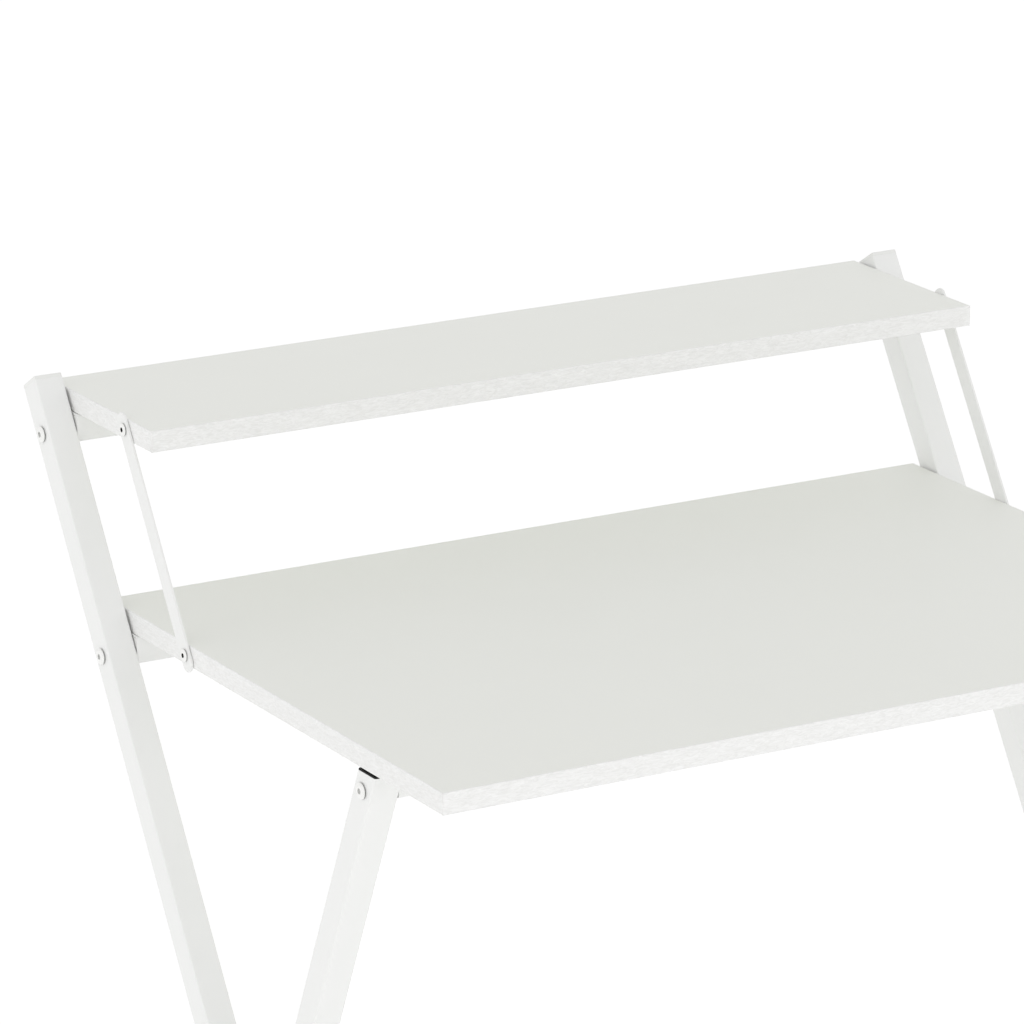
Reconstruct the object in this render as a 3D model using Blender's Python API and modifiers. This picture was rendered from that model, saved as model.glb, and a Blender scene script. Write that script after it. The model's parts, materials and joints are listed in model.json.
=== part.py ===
"""Folding desk with a raised shelf, on two crossed frames of square steel tube.

Two leaning posts carry the desktop and the shelf on pivot bolts.  Flat link bars tie the board ends
together, so the boards stay parallel.  A second frame of legs is bolted to the posts where they cross,
and its top bar sits behind two catches under the desktop.  Lifting the desktop frees the bar, and the
legs then close between the posts.

Metres, +Z up, +Y to the back of the desk, origin on the floor under the middle of the desk.
"""
import math

import bmesh
import bpy
from mathutils import Matrix, Vector

MM = 0.001

# Boards
BOARD_LENGTH = 750 * MM
BOARD_THICKNESS = 17 * MM
BOARD_EDGE_RADIUS = 0.8 * MM
DESKTOP_DEPTH = 528 * MM
DESKTOP_HEIGHT = 740 * MM
SHELF_DEPTH = 174 * MM
SHELF_RISE = 154 * MM

# Square tube
TUBE_WIDTH = 24 * MM
CROSSBAR_WIDTH = 22 * MM
TUBE_WALL = 1.2 * MM
TUBE_CORNER = 1.6 * MM

# Leaning frames
POST_LEAN = math.radians(32.25)
LEG_LEAN = math.radians(23.7)
POST_ABOVE_PIVOT = 223 * MM
POST_BOARD_GAP = 2 * MM
LEG_POST_GAP = 3.2 * MM
LEG_TOP_DROP = 2.2 * MM
FLOOR_BAR_WIDTH = 16 * MM
FLOOR_BAR_HEIGHT = 14 * MM

# Pivots, measured from the board that turns on them
PIVOT_DROP = 32 * MM
DESKTOP_PIVOT_INSET = 40 * MM
SHELF_PIVOT_INSET = 37.3 * MM
LEG_PIVOT_DROP = 35 * MM
LEG_TOP_INSET = 121 * MM
CROSSBAR_POST_GAP = 0.8 * MM

# Link bars
LINK_WIDTH = 15 * MM
LINK_THICKNESS = 2 * MM
LINK_END = 13.5 * MM
LINK_CORNER = 7 * MM
LINK_AHEAD = 94 * MM

# Plastic plugs, caps and feet
CAP_THICKNESS = 3 * MM
CAP_EDGE_RADIUS = 0.7 * MM
FOOT_THICKNESS = 5 * MM
LEG_PLUG_THICKNESS = 1.2 * MM
PLUG_INSERT = 18 * MM
CROSSBAR_PLUG_LENGTH = 18 * MM
PIVOT_BOSS_RADIUS = 5.2 * MM

# Bolts and screws
BOLT_RADIUS = 3 * MM
BOLT_HEAD_RADIUS = 6.3 * MM
BOLT_HEAD_HEIGHT = 2.4 * MM
BOLT_SOCKET_RADIUS = 2.4 * MM
BOLT_SOCKET_DEPTH = 1.8 * MM
BOLT_GRIP = 15 * MM
NUT_RADIUS = 6 * MM
NUT_THICKNESS = 5 * MM
SPACER_RADIUS = 8 * MM
LINK_SCREW_HEAD_RADIUS = 5 * MM
LINK_SCREW_HEAD_HEIGHT = 1.5 * MM
LINK_SCREW_SHOULDER = 3 * MM
LINK_SCREW_SOCKET_RADIUS = 2 * MM
LINK_SCREW_SOCKET_DEPTH = 1.2 * MM
WOOD_SCREW_RADIUS = 2 * MM
WOOD_SCREW_HEAD_RADIUS = 4 * MM
WOOD_SCREW_HEAD_HEIGHT = 2 * MM
LINK_SCREW_GRIP = 20 * MM
WOOD_SCREW_GRIP = 11 * MM
CROSSBAR_SCREW_INSET = 75 * MM

# Catches under the desktop
CATCH_INSET = 95 * MM
CATCH_WIDTH = 32 * MM
CATCH_PAD = 2.5 * MM
CATCH_FLANGE = 3 * MM
CATCH_REACH = 24 * MM
CATCH_LIP = 3.5 * MM
CATCH_DROP = 12 * MM
CATCH_SCREW_SPREAD = 18 * MM
CATCH_GAP = 0.5 * MM

# Fits
SEAT = 0.3 * MM
RUNNING = 0.3 * MM

# Facets
TURN_STEPS = 20
SMALL_TURN_STEPS = 12
HOLE_SIDES = 16
CORNER_STEPS = 2

# Places that follow from the sizes
UNDERSIDE = DESKTOP_HEIGHT - BOARD_THICKNESS
CROSSBAR_DROP = SEAT + CROSSBAR_WIDTH / 2
PIVOT_HEIGHT = DESKTOP_HEIGHT - PIVOT_DROP
SHELF_OVERHANG = SHELF_RISE * math.tan(POST_LEAN) - DESKTOP_PIVOT_INSET + SHELF_PIVOT_INSET
DESKTOP_BACK = (DESKTOP_DEPTH - SHELF_OVERHANG) / 2
SHELF_BACK = DESKTOP_BACK + SHELF_OVERHANG
BOARD_END = BOARD_LENGTH / 2
POST_INNER = BOARD_END + POST_BOARD_GAP
POST_MIDDLE = POST_INNER + TUBE_WIDTH / 2
POST_OUTER = POST_INNER + TUBE_WIDTH
LEG_OUTER = POST_INNER - LEG_POST_GAP
LEG_MIDDLE = LEG_OUTER - TUBE_WIDTH / 2
LEG_INNER = LEG_OUTER - TUBE_WIDTH

DESKTOP_PIVOT = Vector((0, DESKTOP_BACK - DESKTOP_PIVOT_INSET, PIVOT_HEIGHT))
SHELF_PIVOT = DESKTOP_PIVOT + Vector((0, SHELF_RISE * math.tan(POST_LEAN), SHELF_RISE))
LEG_TOP_PIVOT = Vector((0, DESKTOP_BACK - DESKTOP_DEPTH + LEG_TOP_INSET, DESKTOP_HEIGHT - LEG_PIVOT_DROP))
LINK_LOW = DESKTOP_PIVOT + Vector((0, -LINK_AHEAD, PIVOT_DROP - BOARD_THICKNESS / 2))
LINK_HIGH = LINK_LOW + SHELF_PIVOT - DESKTOP_PIVOT

# The posts and legs cross where their two leaning axes meet
POST_AXIS = Vector((0, math.sin(POST_LEAN), math.cos(POST_LEAN)))
LEG_AXIS = Vector((0, -math.sin(LEG_LEAN), math.cos(LEG_LEAN)))
POST_FLOOR = DESKTOP_PIVOT - POST_AXIS * (DESKTOP_PIVOT.z / POST_AXIS.z)
LEG_FLOOR = LEG_TOP_PIVOT - LEG_AXIS * (LEG_TOP_PIVOT.z / LEG_AXIS.z)
CROSS_HEIGHT = (LEG_FLOOR.y - POST_FLOOR.y) / (math.tan(POST_LEAN) + math.tan(LEG_LEAN))
CROSS_PIVOT = POST_FLOOR + POST_AXIS * (CROSS_HEIGHT / POST_AXIS.z)

SIDES = (("left", -1), ("right", 1))


def clear_scene():
    """Removes whatever the file starts with."""
    for item in list(bpy.data.objects):
        bpy.data.objects.remove(item, do_unlink=True)


def collection(name):
    """Makes a collection in the scene."""
    group = bpy.data.collections.new(name)
    bpy.context.scene.collection.children.link(group)
    return group


def finish(name, colour, roughness, metallic=0.0):
    """Makes a plain surface finish."""
    material = bpy.data.materials.new(name)
    material.use_nodes = True
    shader = material.node_tree.nodes["Principled BSDF"]
    shader.inputs["Base Color"].default_value = (*colour, 1.0)
    shader.inputs["Roughness"].default_value = roughness
    shader.inputs["Metallic"].default_value = metallic
    return material


def pivot_empty(name, place):
    """Marks a joint axis, which the pieces of one moving body hang on."""
    empty = bpy.data.objects.new(name, None)
    empty.location = place
    desk.objects.link(empty)
    return empty


def piece(name, mesh, material, place, body=None, turn=(0, 0, 0)):
    """Places a mesh as one named piece of the desk, riding on a pivot empty where it moves."""
    part = bpy.data.objects.new(name, mesh)
    desk.objects.link(part)
    mesh.materials.append(material)
    part.rotation_euler = turn
    part.parent = body
    part.location = Vector(place) - (body.location if body else Vector())
    return part


def to_mesh(bm, name):
    """Turns a bmesh into mesh data."""
    mesh = bpy.data.meshes.new(name)
    bm.normal_update()
    bm.to_mesh(mesh)
    bm.free()
    return mesh


def block(size):
    """A box round the origin, as a bmesh."""
    bm = bmesh.new()
    bmesh.ops.create_cube(bm, size=1.0)
    bmesh.ops.scale(bm, vec=size, verts=bm.verts)
    return bm


def round_edges(bm, axis, radius, steps=CORNER_STEPS):
    """Rounds the edges that run along one axis."""
    edges = []
    for edge in bm.edges:
        run = edge.verts[1].co - edge.verts[0].co
        if abs(run[axis]) > 0.99 * run.length:
            edges.append(edge)
    bmesh.ops.bevel(bm, geom=edges, offset=radius, segments=steps, profile=0.5, affect="EDGES")


def soften(part, radius, steps=2):
    """Rounds every sharp edge of a piece a little."""
    bevel = part.modifiers.new("rounded edges", "BEVEL")
    bevel.width = radius
    bevel.segments = steps
    bevel.limit_method = "ANGLE"
    bevel.angle_limit = math.radians(40)


def cutter(name, mesh):
    """Keeps a cutting shape out of the desk itself."""
    tool = bpy.data.objects.new(name, mesh)
    cutters.objects.link(tool)
    tool.hide_render = True
    tool.display_type = "WIRE"
    return tool


def cut(part, tool, operation="DIFFERENCE"):
    """Cuts or joins another shape into a piece."""
    boolean = part.modifiers.new(tool.name, "BOOLEAN")
    boolean.operation = operation
    boolean.object = tool


def rod(bm, place, axis, radius, length, sides=HOLE_SIDES):
    """Adds a round rod along X or Z to a bmesh, centred on a place."""
    lie = Matrix.Rotation(math.pi / 2, 4, "Y") if axis == "X" else Matrix.Identity(4)
    at = Matrix.Translation(place) @ lie
    bmesh.ops.create_cone(bm, cap_ends=True, segments=sides, radius1=radius, radius2=radius,
                          depth=length, matrix=at)


def drill(part, holes):
    """Drills round holes, each given as place, axis, radius and length."""
    bm = bmesh.new()
    for place, axis, radius, length in holes:
        rod(bm, place, axis, radius, length)
    cut(part, cutter(part.name + "_holes", to_mesh(bm, part.name + "_holes")))


def lying(lean):
    """The turn that lays a tube across the desk, with its section leaning like the frame it joins."""
    return (Matrix.Rotation(lean, 3, "X") @ Matrix.Rotation(math.pi / 2, 3, "Y")).to_euler()


def across(x, point):
    """The same point of the side view, at a distance across the desk."""
    return Vector((x, point.y, point.z))


def tube_mesh(name, width, length, low_slope=0.0, high_slope=0.0):
    """A square tube along Z, centred on its axis and open at both ends, which may be cut on a slope."""
    bm = block((width, width, length))
    round_edges(bm, 2, TUBE_CORNER)
    bm.normal_update()
    ends = [face for face in bm.faces if abs(face.normal.z) > 0.9]
    bmesh.ops.delete(bm, geom=ends, context="FACES_ONLY")
    bmesh.ops.solidify(bm, geom=bm.faces[:], thickness=TUBE_WALL)
    for vert in bm.verts:
        slope = high_slope if vert.co.z > 0 else low_slope
        vert.co.z += slope * vert.co.y
    return to_mesh(bm, name)


def plug_mesh(name, flange, insert, slope=0.0, edge=0.0):
    """A tube plug: a flange as wide as the tube above z = 0, and a shank below it that fits the bore."""
    bm = block((TUBE_WIDTH, TUBE_WIDTH, flange))
    bmesh.ops.translate(bm, vec=(0, 0, SEAT + flange / 2), verts=bm.verts)
    round_edges(bm, 2, TUBE_CORNER)
    bm.normal_update()
    bm.faces.ensure_lookup_table()
    if edge:
        crown = max(bm.faces, key=lambda face: face.calc_center_median().z)
        bmesh.ops.bevel(bm, geom=crown.edges[:], offset=edge, segments=2, profile=0.5, affect="EDGES")
    base = min(bm.faces, key=lambda face: face.calc_center_median().z)
    bmesh.ops.inset_region(bm, faces=[base], thickness=TUBE_WALL + RUNNING)
    shank = bmesh.ops.extrude_face_region(bm, geom=[base])["geom"]
    tip = [item for item in shank if isinstance(item, bmesh.types.BMVert)]
    bmesh.ops.delete(bm, geom=[base], context="FACES_ONLY")
    bmesh.ops.translate(bm, vec=(0, 0, -insert - SEAT), verts=tip)
    for vert in bm.verts:
        vert.co.z += slope * vert.co.y
    return to_mesh(bm, name)


def turned_mesh(name, profile):
    """An outline of radius and height, from the top of the piece down, for turning about Z."""
    points = [(radius, 0, height) for radius, height in profile]
    edges = [(index, index + 1) for index in range(len(points) - 1)]
    mesh = bpy.data.meshes.new(name)
    mesh.from_pydata(points, edges, [])
    return mesh


def fastener(name, profile, socket, place, turn, body, steps=TURN_STEPS):
    """A turned bolt or screw whose head stands above z = 0, with a hexagon socket."""
    part = piece(name, turned_mesh(name, profile), zinc_white, place, body, turn)
    screw = part.modifiers.new("turned", "SCREW")
    screw.axis = "Z"
    screw.steps = steps
    screw.render_steps = steps
    screw.use_merge_vertices = True
    screw.merge_threshold = 0.00001
    screw.use_smooth_shade = True
    socket_radius, socket_depth = socket
    bm = bmesh.new()
    top = profile[0][1]
    rod(bm, (0, 0, top), "Z", socket_radius, 2 * socket_depth, sides=6)
    tool = cutter(name + "_socket", to_mesh(bm, name + "_socket"))
    tool.location = place
    tool.rotation_euler = turn
    cut(part, tool)
    return part


def round_head(radius, height):
    """The outline of a low round head, from its crown to its rim."""
    steps = ((0, 1), (0.55, 0.97), (0.82, 0.8), (1, 0.4))
    return [(out * radius, up * height) for out, up in steps]


def bolt(name, side, place, length, body=None):
    """A socket bolt along X, its head outwards on a tube's face."""
    head = round_head(BOLT_HEAD_RADIUS, BOLT_HEAD_HEIGHT)
    shank = [(BOLT_HEAD_RADIUS, 0), (BOLT_RADIUS, 0), (BOLT_RADIUS, -length), (0, -length)]
    socket = (BOLT_SOCKET_RADIUS, BOLT_SOCKET_DEPTH)
    seat = place + Vector((side * SEAT, 0, 0))
    fastener(name, head + shank, socket, seat, (0, side * math.pi / 2, 0), body)


def link_screw(name, side, place, body):
    """A shoulder screw that a link bar turns on, driven into a board's end."""
    shoulder = LINK_THICKNESS + 2 * SEAT
    tip = -shoulder - LINK_SCREW_GRIP
    profile = round_head(LINK_SCREW_HEAD_RADIUS, LINK_SCREW_HEAD_HEIGHT) + [
        (LINK_SCREW_HEAD_RADIUS, 0), (LINK_SCREW_SHOULDER, 0), (LINK_SCREW_SHOULDER, -shoulder + SEAT),
        (WOOD_SCREW_RADIUS, -shoulder + SEAT), (WOOD_SCREW_RADIUS, tip), (0, tip)]
    socket = (LINK_SCREW_SOCKET_RADIUS, LINK_SCREW_SOCKET_DEPTH)
    seat = across(side * (BOARD_END + shoulder), place)
    fastener(name, profile, socket, seat, (0, side * math.pi / 2, 0), body)


def wood_screw(name, place, through, body):
    """A screw driven upwards through a fitting and into a board."""
    tip = -SEAT - through - WOOD_SCREW_GRIP
    profile = round_head(WOOD_SCREW_HEAD_RADIUS, WOOD_SCREW_HEAD_HEIGHT) + [
        (WOOD_SCREW_HEAD_RADIUS, 0), (WOOD_SCREW_RADIUS, 0), (WOOD_SCREW_RADIUS, tip), (0, tip)]
    socket = (WOOD_SCREW_RADIUS, WOOD_SCREW_HEAD_HEIGHT / 2)
    seat = place - Vector((0, 0, SEAT))
    fastener(name, profile, socket, seat, (math.pi, 0, 0), body, SMALL_TURN_STEPS)


def screw_hole(place, through):
    """The hole for a screw that is driven upwards from a place."""
    length = through + WOOD_SCREW_GRIP + 4 * SEAT
    return place + Vector((0, 0, length / 2 - SEAT)), "Z", WOOD_SCREW_RADIUS + RUNNING, length


def bolt_hole(x, point, length):
    """A bolt's hole along X, centred at a distance across the desk."""
    return across(x, point), "X", BOLT_RADIUS + RUNNING, length


def make_posts():
    """The two leaning posts with their caps, feet, pivot bolts and floor bar."""
    lean = (-POST_LEAN, 0, 0)
    slope = math.tan(POST_LEAN)
    low = POST_FLOOR + POST_AXIS * (FOOT_THICKNESS + SEAT)
    top = DESKTOP_PIVOT + POST_AXIS * POST_ABOVE_PIVOT
    length = (top - low).length
    middle = (top + low) / 2
    for name, side in SIDES:
        x = side * POST_MIDDLE
        post = piece("post_" + name, tube_mesh("post_" + name, TUBE_WIDTH, length, low_slope=slope),
                     white_steel, across(x, middle), turn=lean)
        pivots = (DESKTOP_PIVOT, SHELF_PIVOT, CROSS_PIVOT)
        drill(post, [bolt_hole(x, pivot, 2 * TUBE_WIDTH) for pivot in pivots])
        piece("post_cap_" + name, plug_mesh("post_cap", CAP_THICKNESS, PLUG_INSERT, edge=CAP_EDGE_RADIUS),
              white_plastic, across(x, top), turn=lean)
        piece("post_foot_" + name, plug_mesh("post_foot", FOOT_THICKNESS, PLUG_INSERT, slope=slope),
              grey_plastic, across(x, low), turn=(math.pi - POST_LEAN, 0, 0))
        face = side * POST_OUTER
        reach = TUBE_WIDTH + POST_BOARD_GAP + BOLT_GRIP
        bolt("desktop_pivot_bolt_" + name, side, across(face, DESKTOP_PIVOT), reach)
        bolt("shelf_pivot_bolt_" + name, side, across(face, SHELF_PIVOT), reach)
        reach = 2 * TUBE_WIDTH + LEG_POST_GAP + NUT_THICKNESS + 4 * SEAT
        bolt("cross_pivot_bolt_" + name, side, across(face, CROSS_PIVOT), reach)
    bar_length = 2 * (POST_INNER - SEAT)
    bar = POST_FLOOR + POST_AXIS * (FLOOR_BAR_HEIGHT / POST_AXIS.z)
    piece("front_floor_bar", tube_mesh("front_floor_bar", FLOOR_BAR_WIDTH, bar_length),
          white_steel, bar, turn=lying(-POST_LEAN))


def make_legs(body):
    """The crossed legs with their top bar, plugs, feet, bolts, nuts and floor bar."""
    lean = (LEG_LEAN, 0, 0)
    slope = math.tan(LEG_LEAN)
    above = (UNDERSIDE - LEG_TOP_DROP - LEG_TOP_PIVOT.z) / LEG_AXIS.z - LEG_PLUG_THICKNESS - SEAT
    low = LEG_FLOOR + LEG_AXIS * (FOOT_THICKNESS + SEAT)
    top = LEG_TOP_PIVOT + LEG_AXIS * above
    length = (top - low).length
    middle = (top + low) / 2
    for name, side in SIDES:
        x = side * LEG_MIDDLE
        tube = tube_mesh("leg_" + name, TUBE_WIDTH, length, low_slope=-slope, high_slope=-slope)
        leg = piece("leg_" + name, tube, white_steel, across(x, middle), body, lean)
        drill(leg, [bolt_hole(x, pivot, 2 * TUBE_WIDTH) for pivot in (LEG_TOP_PIVOT, CROSS_PIVOT)])
        plug_depth = (above - BOLT_RADIUS) / 2
        plug = plug_mesh("leg_top_plug", LEG_PLUG_THICKNESS, plug_depth, slope=-slope)
        piece("leg_top_plug_" + name, plug, black_plastic, across(x, top), body, lean)
        piece("leg_foot_" + name, plug_mesh("leg_foot", FOOT_THICKNESS, PLUG_INSERT, slope=-slope),
              grey_plastic, across(x, low), body, (math.pi + LEG_LEAN, 0, 0))
        bolt_at = across(side * LEG_OUTER, LEG_TOP_PIVOT)
        bolt("leg_bar_bolt_" + name, side, bolt_at, TUBE_WIDTH + BOLT_GRIP, body)
        nut_at = across(side * (LEG_INNER - SEAT - NUT_THICKNESS / 2), CROSS_PIVOT)
        ring("cross_pivot_nut_" + name, nut_at, NUT_RADIUS, NUT_THICKNESS, 6, zinc_white, body)
        spacer_at = across(side * (LEG_OUTER + LEG_POST_GAP / 2), CROSS_PIVOT)
        thickness = LEG_POST_GAP - 2 * SEAT
        ring("cross_pivot_spacer_" + name, spacer_at, SPACER_RADIUS, thickness, TURN_STEPS,
             black_plastic, body)
    bar_length = 2 * (LEG_INNER - SEAT)
    centre = Vector((0, LEG_TOP_PIVOT.y, UNDERSIDE - CATCH_PAD - SEAT - CROSSBAR_DROP))
    piece("leg_top_bar", tube_mesh("leg_top_bar", CROSSBAR_WIDTH, bar_length),
          white_steel, centre, body, lying(0))
    for name, side in SIDES:
        crossbar_plug("leg_top_bar_plug_" + name, side, centre, LEG_INNER - SEAT, 0.0, LEG_TOP_PIVOT, body)
    bar = LEG_FLOOR + LEG_AXIS * (FLOOR_BAR_HEIGHT / LEG_AXIS.z)
    piece("rear_floor_bar", tube_mesh("rear_floor_bar", FLOOR_BAR_WIDTH, bar_length),
          white_steel, bar, body, lying(LEG_LEAN))


def ring(name, place, radius, thickness, sides, material, body):
    """A washer or nut round a bolt along X."""
    bm = bmesh.new()
    rod(bm, (0, 0, 0), "X", radius, thickness, sides)
    part = piece(name, to_mesh(bm, name), material, place, body)
    drill(part, [bolt_hole(place.x, place, 2 * thickness)])


def crossbar_plug(name, side, centre, bar_end, boss, pivot, body):
    """A plug in a crossbar's end that a bolt turns in, with a round boss that reaches past the end."""
    width = CROSSBAR_WIDTH - 2 * (TUBE_WALL + RUNNING)
    bm = block((CROSSBAR_PLUG_LENGTH, width, width))
    at = across(side * (bar_end - CROSSBAR_PLUG_LENGTH / 2), centre)
    part = piece(name, to_mesh(bm, name), white_plastic, at, body)
    if boss:
        reach = boss + CROSSBAR_PLUG_LENGTH / 2
        bm = bmesh.new()
        rod(bm, across(side * (bar_end + boss - reach / 2), pivot), "X", PIVOT_BOSS_RADIUS, reach, TURN_STEPS)
        cut(part, cutter(name + "_boss", to_mesh(bm, name + "_boss")), "UNION")
    drill(part, [bolt_hole(side * bar_end, pivot, 4 * CROSSBAR_PLUG_LENGTH)])


def make_board(name, back, depth, top, pivot, link_end, body):
    """A board with the crossbar that it turns on, the bar's plugs and screws, and the link screws."""
    bottom = top - BOARD_THICKNESS
    board = piece(name + "_board", to_mesh(block((BOARD_LENGTH, depth, BOARD_THICKNESS)), name + "_board"),
                  white_board, (0, back - depth / 2, top - BOARD_THICKNESS / 2), body)
    soften(board, BOARD_EDGE_RADIUS)
    holes = []
    centre = Vector((0, pivot.y, bottom - CROSSBAR_DROP))
    bar_end = POST_INNER - CROSSBAR_POST_GAP
    bar = piece(name + "_crossbar", tube_mesh(name + "_crossbar", CROSSBAR_WIDTH, 2 * bar_end),
                white_steel, centre, body, lying(0))
    bar_holes = []
    for number, column in enumerate((-1, 0, 1), start=1):
        x = column * (BOARD_END - CROSSBAR_SCREW_INSET)
        seat = centre + Vector((x, 0, -CROSSBAR_WIDTH / 2))
        through = CROSSBAR_WIDTH + SEAT
        wood_screw(name + "_crossbar_screw_" + str(number), seat, through, body)
        holes.append(screw_hole(seat, through))
        bar_holes.append(screw_hole(seat, through))
    drill(bar, bar_holes)
    boss = POST_INNER - SEAT - bar_end
    for side_name, side in SIDES:
        crossbar_plug(name + "_crossbar_plug_" + side_name, side, centre, bar_end, boss, pivot, body)
        link_screw(name + "_link_screw_" + side_name, side, link_end, body)
        grip = 2 * (LINK_SCREW_GRIP + SEAT)
        holes.append((across(side * BOARD_END, link_end), "X", WOOD_SCREW_RADIUS + RUNNING, grip))
    return board, holes


def make_catches(body):
    """Two catches under the desktop that the leg frame's top bar bears on, and the holes for their screws."""
    holes = []
    rear = LEG_TOP_PIVOT.y + CROSSBAR_WIDTH / 2
    lip_rear = LEG_TOP_PIVOT.y - CROSSBAR_WIDTH / 2 - CATCH_GAP
    lip_front = lip_rear - CATCH_LIP
    front = lip_rear - CATCH_REACH
    top = UNDERSIDE - SEAT
    pad_low = top - CATCH_PAD
    flange_low = top - CATCH_FLANGE
    lip_low = pad_low - CATCH_DROP
    outline = [(rear, top), (front, top), (front, flange_low), (lip_front, flange_low),
               (lip_front, lip_low), (lip_rear, lip_low), (lip_rear, pad_low), (rear, pad_low)]
    row = (front + lip_front) / 2
    for name, side in SIDES:
        x = side * (BOARD_END - CATCH_INSET)
        mesh = outline_mesh("front_catch_" + name, outline, CATCH_WIDTH)
        upright = (math.pi / 2, 0, math.pi / 2)
        part = piece("front_catch_" + name, mesh, black_plastic, (x, 0, 0), body, upright)
        seats = [Vector((x + step * CATCH_SCREW_SPREAD / 2, row, flange_low)) for step in (-1, 1)]
        for end, seat in zip(("outer", "inner"), seats[::-side]):
            wood_screw("front_catch_screw_" + name + "_" + end, seat, CATCH_FLANGE + SEAT, body)
        plate_holes = [screw_hole(seat, CATCH_FLANGE + SEAT) for seat in seats]
        drill(part, plate_holes)
        holes.extend(plate_holes)
    return holes


def outline_mesh(name, points, thickness):
    """A flat outline made as a filled curve of a given thickness, then turned into a welded mesh."""
    curve = bpy.data.curves.new(name, "CURVE")
    curve.dimensions = "2D"
    curve.fill_mode = "BOTH"
    curve.extrude = thickness / 2
    spline = curve.splines.new("POLY")
    spline.points.add(len(points) - 1)
    for point, (across_x, up_y) in zip(spline.points, points):
        point.co = (across_x, up_y, 0, 1)
    spline.use_cyclic_u = True
    drawn = bpy.data.objects.new(name, curve)
    cutters.objects.link(drawn)
    mesh = bpy.data.meshes.new_from_object(drawn.evaluated_get(bpy.context.evaluated_depsgraph_get()))
    bpy.data.objects.remove(drawn, do_unlink=True)
    bm = bmesh.new()
    bm.from_mesh(mesh)
    bmesh.ops.remove_doubles(bm, verts=bm.verts, dist=0.00001)
    bm.to_mesh(mesh)
    bm.free()
    mesh.materials.clear()
    return mesh


def make_links():
    """The two flat bars that tie the shelf's ends to the desktop's."""
    run = LINK_HIGH - LINK_LOW
    length = run.length + 2 * LINK_END
    for name, side in SIDES:
        body = pivot_empty("link_pivot_" + name, across(side * BOARD_END, LINK_LOW))
        bm = block((LINK_THICKNESS, LINK_WIDTH, length))
        round_edges(bm, 0, LINK_CORNER, steps=6)
        x = side * (BOARD_END + SEAT + LINK_THICKNESS / 2)
        link = piece("link_" + name, to_mesh(bm, "link_" + name), white_steel,
                     across(x, (LINK_LOW + LINK_HIGH) / 2), body, (-POST_LEAN, 0, 0))
        radius = LINK_SCREW_SHOULDER + RUNNING
        drill(link, [(across(x, end), "X", radius, 4 * LINK_THICKNESS) for end in (LINK_LOW, LINK_HIGH)])


clear_scene()
desk = collection("folding_desk")
cutters = collection("cutters")

white_steel = finish("white_powder_coated_steel", (0.86, 0.87, 0.85), 0.42)
white_board = finish("white_laminated_board", (0.78, 0.79, 0.76), 0.5)
white_plastic = finish("white_plastic", (0.84, 0.85, 0.83), 0.45)
grey_plastic = finish("grey_plastic", (0.55, 0.55, 0.54), 0.6)
black_plastic = finish("black_plastic", (0.02, 0.02, 0.02), 0.5)
zinc_white = finish("white_painted_fastener", (0.8, 0.8, 0.79), 0.4)

make_posts()
leg_pivot = pivot_empty("leg_pivot", CROSS_PIVOT)
make_legs(leg_pivot)

desktop_hinge = pivot_empty("desktop_hinge", DESKTOP_PIVOT)
desktop, desktop_holes = make_board("desktop", DESKTOP_BACK, DESKTOP_DEPTH, DESKTOP_HEIGHT,
                                    DESKTOP_PIVOT, LINK_LOW, desktop_hinge)
drill(desktop, desktop_holes + make_catches(desktop_hinge))

shelf_hinge = pivot_empty("shelf_hinge", SHELF_PIVOT)
shelf, shelf_holes = make_board("shelf", SHELF_BACK, SHELF_DEPTH, DESKTOP_HEIGHT + SHELF_RISE,
                                SHELF_PIVOT, LINK_HIGH, shelf_hinge)
drill(shelf, shelf_holes)

make_links()
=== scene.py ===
"""The looks of a white folding desk with a raised shelf: banded boards, square tube, links, bolts and plugs.

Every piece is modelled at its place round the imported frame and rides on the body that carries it.
"""
import json
import math

import bpy
from mathutils import Matrix, Vector


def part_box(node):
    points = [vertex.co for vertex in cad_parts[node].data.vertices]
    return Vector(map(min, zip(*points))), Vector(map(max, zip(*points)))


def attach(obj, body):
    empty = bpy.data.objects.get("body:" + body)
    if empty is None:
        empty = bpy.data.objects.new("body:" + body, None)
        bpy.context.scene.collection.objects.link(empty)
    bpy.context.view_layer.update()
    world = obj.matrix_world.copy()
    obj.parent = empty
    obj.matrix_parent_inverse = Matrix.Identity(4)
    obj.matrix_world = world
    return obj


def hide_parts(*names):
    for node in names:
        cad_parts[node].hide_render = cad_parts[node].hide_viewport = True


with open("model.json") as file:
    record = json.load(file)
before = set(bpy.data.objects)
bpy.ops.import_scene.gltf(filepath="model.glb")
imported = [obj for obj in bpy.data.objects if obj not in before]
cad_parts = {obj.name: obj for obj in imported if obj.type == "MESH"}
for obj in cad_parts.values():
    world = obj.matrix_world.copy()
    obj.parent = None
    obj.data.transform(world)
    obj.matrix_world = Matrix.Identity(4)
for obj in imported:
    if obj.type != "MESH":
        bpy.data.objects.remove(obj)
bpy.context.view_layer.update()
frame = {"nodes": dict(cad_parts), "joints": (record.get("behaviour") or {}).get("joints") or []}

MM = 0.001
X, Y, Z = 0, 1, 2
QUARTER_TURN = math.pi / 2

# Square tube
TUBE_WIDTH = 24 * MM
CROSSBAR_WIDTH = 22 * MM
TUBE_WALL = 1.2 * MM
TUBE_CORNER = 1.6 * MM
TUBE_CORNER_STEPS = 6
FLOOR_BAR_WIDTH = 16 * MM
POST_ABOVE_PIVOT = 223 * MM
POST_BLANK = 1090 * MM
LEG_BLANK = 860 * MM
WELD_LENGTH = 2.4 * MM
WELD_STAND = 1.5 * MM
WELD_ROUND = 0.6 * MM
WELD_FIT = 0.05 * MM

# Boards and their glued edge bands
BAND_THICKNESS = 0.8 * MM
BAND_EDGE = 0.6 * MM
PANEL_EDGE = 0.15 * MM

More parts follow.
